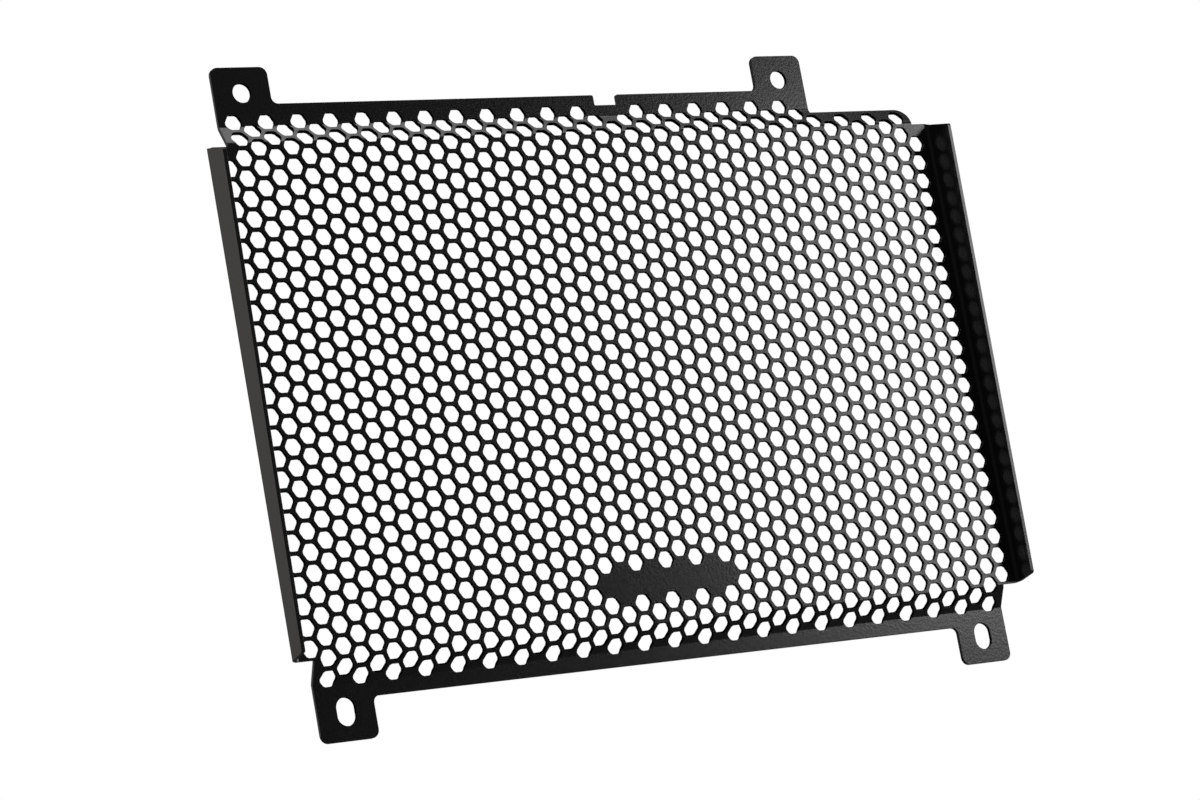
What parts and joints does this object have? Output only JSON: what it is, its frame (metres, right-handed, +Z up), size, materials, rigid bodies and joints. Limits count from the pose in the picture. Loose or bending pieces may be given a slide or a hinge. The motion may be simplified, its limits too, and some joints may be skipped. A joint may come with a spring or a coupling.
{
  "type": "motorcycle radiator guard",
  "caption": "Folded aluminium sheet with a honeycomb grille, forward side flanges and stepped strips with slotted and round-holed fixing tabs, to shield a radiator from stones.",
  "frame": {"origin": "midway between the two upper fixing holes, on the rear face of their tabs, which seats on the radiator's brackets", "axes": "+X to the right as seen from the front, along the line of the upper holes; +Y to the rear, towards the radiator; +Z up"},
  "size_m": [0.3152, 0.0187, 0.2436],
  "materials": {
    "powder_coated_aluminium": "satin black powder coat with a fine grain, over laser-cut aluminium sheet"
  },
  "bodies": {
    "root": {"radiator_guard": "powder_coated_aluminium"}
  },
  "joints": []
}
